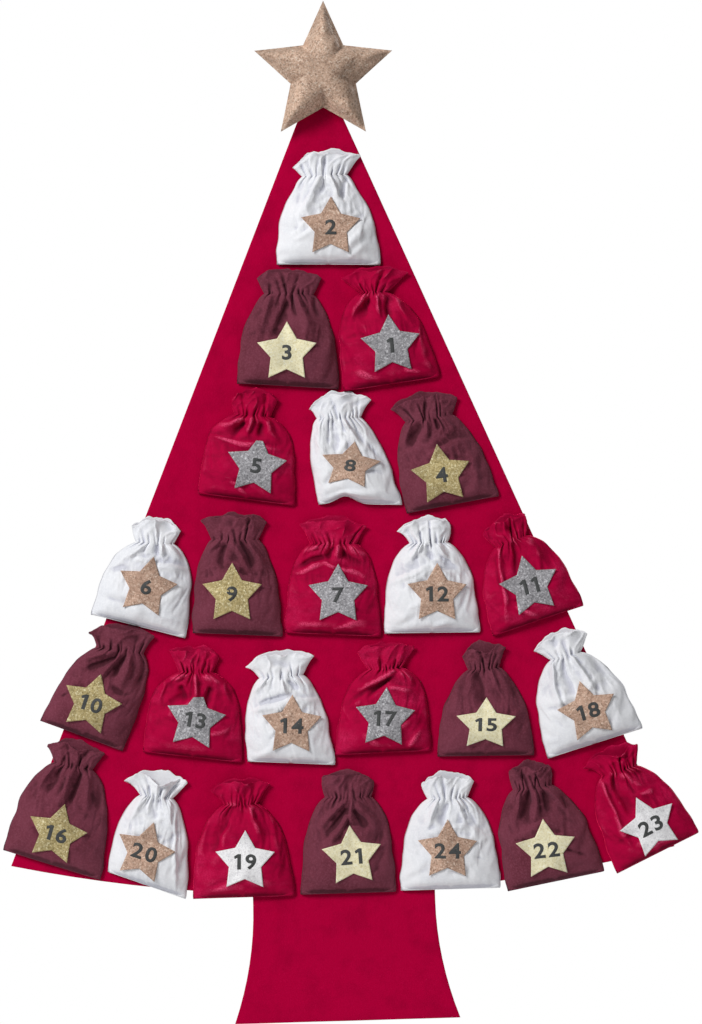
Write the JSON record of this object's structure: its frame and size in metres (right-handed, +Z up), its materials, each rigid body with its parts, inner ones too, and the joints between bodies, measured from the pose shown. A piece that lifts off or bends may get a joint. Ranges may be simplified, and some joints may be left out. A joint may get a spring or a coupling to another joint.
{
  "type": "hanging advent calendar",
  "caption": "Wall-hung felt Christmas tree with a padded star on top and rows of small gathered cloth bags, each with a numbered glitter star.",
  "frame": {"origin": "the nail's point on the wall, on the centreline, inside the top of the hanging loop; the felt's back lies in the plane y = 0", "axes": "+Z up, +Y into the wall, the front faces -Y, +X to the right as seen from the front"},
  "size_m": [0.6944, 0.0402, 1.017],
  "materials": {
    "tree_felt": "crimson wool-like felt, matt",
    "loop_cord": "twisted crimson cord",
    "champagne_glitter": "champagne glitter cloth, sewn and stuffed",
    "star_filling": "white polyester filling",
    "white_cotton": "white cotton with a soft nap",
    "burgundy_cotton": "matt burgundy cotton weave",
    "red_velvet": "crimson velvet with a pinkish sheen",
    "rose_gold_glitter": "rose gold glitter on felt",
    "gold_glitter": "gold glitter on felt",
    "silver_glitter": "silver glitter on felt"
  },
  "bodies": {
    "calendar": {"tree_panel": "tree_felt", "hanging_loop": "loop_cord", "top_star_front": "champagne_glitter", "top_star_back": "champagne_glitter", "top_star_filling": "star_filling"},
    "bag_01": {"bag_01": "red_velvet", "star_patch_01": "silver_glitter"},
    "bag_02": {"bag_02": "white_cotton", "star_patch_02": "rose_gold_glitter"},
    "bag_03": {"bag_03": "burgundy_cotton", "star_patch_03": "gold_glitter"},
    "bag_04": {"bag_04": "burgundy_cotton", "star_patch_04": "gold_glitter"},
    "bag_05": {"bag_05": "red_velvet", "star_patch_05": "silver_glitter"},
    "bag_06": {"bag_06": "white_cotton", "star_patch_06": "rose_gold_glitter"},
    "bag_07": {"bag_07": "red_velvet", "star_patch_07": "silver_glitter"},
    "bag_08": {"bag_08": "white_cotton", "star_patch_08": "rose_gold_glitter"},
    "bag_09": {"bag_09": "burgundy_cotton", "star_patch_09": "gold_glitter"},
    "bag_10": {"bag_10": "burgundy_cotton", "star_patch_10": "gold_glitter"},
    "bag_11": {"bag_11": "red_velvet", "star_patch_11": "silver_glitter"},
    "bag_12": {"bag_12": "white_cotton", "star_patch_12": "rose_gold_glitter"},
    "bag_13": {"bag_13": "red_velvet", "star_patch_13": "silver_glitter"},
    "bag_14": {"bag_14": "white_cotton", "star_patch_14": "rose_gold_glitter"},
    "bag_15": {"bag_15": "burgundy_cotton", "star_patch_15": "gold_glitter"},
    "bag_16": {"bag_16": "burgundy_cotton", "star_patch_16": "gold_glitter"},
    "bag_17": {"bag_17": "red_velvet", "star_patch_17": "silver_glitter"},
    "bag_18": {"bag_18": "white_cotton", "star_patch_18": "rose_gold_glitter"},
    "bag_19": {"bag_19": "red_velvet", "star_patch_19": "silver_glitter"},
    "bag_20": {"bag_20": "white_cotton", "star_patch_20": "rose_gold_glitter"},
    "bag_21": {"bag_21": "burgundy_cotton", "star_patch_21": "gold_glitter"},
    "bag_22": {"bag_22": "burgundy_cotton", "star_patch_22": "gold_glitter"},
    "bag_23": {"bag_23": "red_velvet", "star_patch_23": "silver_glitter"},
    "bag_24": {"bag_24": "white_cotton", "star_patch_24": "rose_gold_glitter"}
  },
  "joints": [
    {"name": "bag_01_lift", "type": "hinge", "parent": "calendar", "child": "bag_01", "pos_m": [0.048, -0.0033, -0.2168], "axis": [-1, 0, 0], "range_deg": [0, 45]},
    {"name": "bag_02_lift", "type": "hinge", "parent": "calendar", "child": "bag_02", "pos_m": [0.00155, -0.0033, -0.0988], "axis": [-0.9998, 0, -0.0175], "range_deg": [0, 45]},
    {"name": "bag_03_lift", "type": "hinge", "parent": "calendar", "child": "bag_03", "pos_m": [-0.03564, -0.0033, -0.21584], "axis": [-0.9986, 0, 0.0523], "range_deg": [0, 45]},
    {"name": "bag_04_lift", "type": "hinge", "parent": "calendar", "child": "bag_04", "pos_m": [0.09538, -0.0033, -0.34405], "axis": [-0.9903, 0, -0.1392], "range_deg": [0, 45]},
    {"name": "bag_05_lift", "type": "hinge", "parent": "calendar", "child": "bag_05", "pos_m": [-0.07428, -0.0033, -0.33594], "axis": [-0.9945, 0, 0.1045], "range_deg": [0, 45]},
    {"name": "bag_06_lift", "type": "hinge", "parent": "calendar", "child": "bag_06", "pos_m": [-0.17573, -0.0033, -0.4599], "axis": [-0.9962, 0, 0.0872], "range_deg": [0, 45]},
    {"name": "bag_07_lift", "type": "hinge", "parent": "calendar", "child": "bag_07", "pos_m": [0.00091, -0.0033, -0.46582], "axis": [-0.9994, 0, 0.0349], "range_deg": [0, 45]},
    {"name": "bag_08_lift", "type": "hinge", "parent": "calendar", "child": "bag_08", "pos_m": [0.009, -0.0033, -0.3408], "axis": [-1, 0, 0], "range_deg": [0, 45]},
    {"name": "bag_09_lift", "type": "hinge", "parent": "calendar", "child": "bag_09", "pos_m": [-0.09709, -0.0033, -0.45882], "axis": [-0.9994, 0, 0.0349], "range_deg": [0, 45]},
    {"name": "bag_10_lift", "type": "hinge", "parent": "calendar", "child": "bag_10", "pos_m": [-0.21149, -0.0033, -0.5662], "axis": [-0.9848, 0, 0.1736], "range_deg": [0, 45]},
    {"name": "bag_11_lift", "type": "hinge", "parent": "calendar", "child": "bag_11", "pos_m": [0.16811, -0.0033, -0.47037], "axis": [-0.9397, 0, -0.342], "range_deg": [0, 45]},
    {"name": "bag_12_lift", "type": "hinge", "parent": "calendar", "child": "bag_12", "pos_m": [0.095, -0.0033, -0.4678], "axis": [-1, 0, 0], "range_deg": [0, 45]},
    {"name": "bag_13_lift", "type": "hinge", "parent": "calendar", "child": "bag_13", "pos_m": [-0.14009, -0.0033, -0.58982], "axis": [-0.9994, 0, 0.0349], "range_deg": [0, 45]},
    {"name": "bag_14_lift", "type": "hinge", "parent": "calendar", "child": "bag_14", "pos_m": [-0.05736, -0.0033, -0.59684], "axis": [-0.9986, 0, -0.0523], "range_deg": [0, 45]},
    {"name": "bag_15_lift", "type": "hinge", "parent": "calendar", "child": "bag_15", "pos_m": [0.14464, -0.0033, -0.59484], "axis": [-0.9986, 0, -0.0523], "range_deg": [0, 45]},
    {"name": "bag_16_lift", "type": "hinge", "parent": "calendar", "child": "bag_16", "pos_m": [-0.26015, -0.0033, -0.68047], "axis": [-0.9744, 0, 0.225], "range_deg": [0, 45]},
    {"name": "bag_17_lift", "type": "hinge", "parent": "calendar", "child": "bag_17", "pos_m": [0.04709, -0.0033, -0.59182], "axis": [-0.9994, 0, -0.0349], "range_deg": [0, 45]},
    {"name": "bag_18_lift", "type": "hinge", "parent": "calendar", "child": "bag_18", "pos_m": [0.22171, -0.0033, -0.58557], "axis": [-0.9703, 0, -0.2419], "range_deg": [0, 45]},
    {"name": "bag_19_lift", "type": "hinge", "parent": "calendar", "child": "bag_19", "pos_m": [-0.1, -0.0033, -0.7228], "axis": [-1, 0, 0], "range_deg": [0, 45]},
    {"name": "bag_20_lift", "type": "hinge", "parent": "calendar", "child": "bag_20", "pos_m": [-0.18038, -0.0033, -0.71305], "axis": [-0.9903, 0, 0.1392], "range_deg": [0, 45]},
    {"name": "bag_21_lift", "type": "hinge", "parent": "calendar", "child": "bag_21", "pos_m": [0.00745, -0.0033, -0.7188], "axis": [-0.9998, 0, 0.0175], "range_deg": [0, 45]},
    {"name": "bag_22_lift", "type": "hinge", "parent": "calendar", "child": "bag_22", "pos_m": [0.18828, -0.0033, -0.71494], "axis": [-0.9945, 0, -0.1045], "range_deg": [0, 45]},
    {"name": "bag_23_lift", "type": "hinge", "parent": "calendar", "child": "bag_23", "pos_m": [0.27083, -0.0033, -0.70181], "axis": [-0.9613, 0, -0.2756], "range_deg": [0, 45]},
    {"name": "bag_24_lift", "type": "hinge", "parent": "calendar", "child": "bag_24", "pos_m": [0.10555, -0.0033, -0.7228], "axis": [-0.9998, 0, -0.0175], "range_deg": [0, 45]}
  ]
}
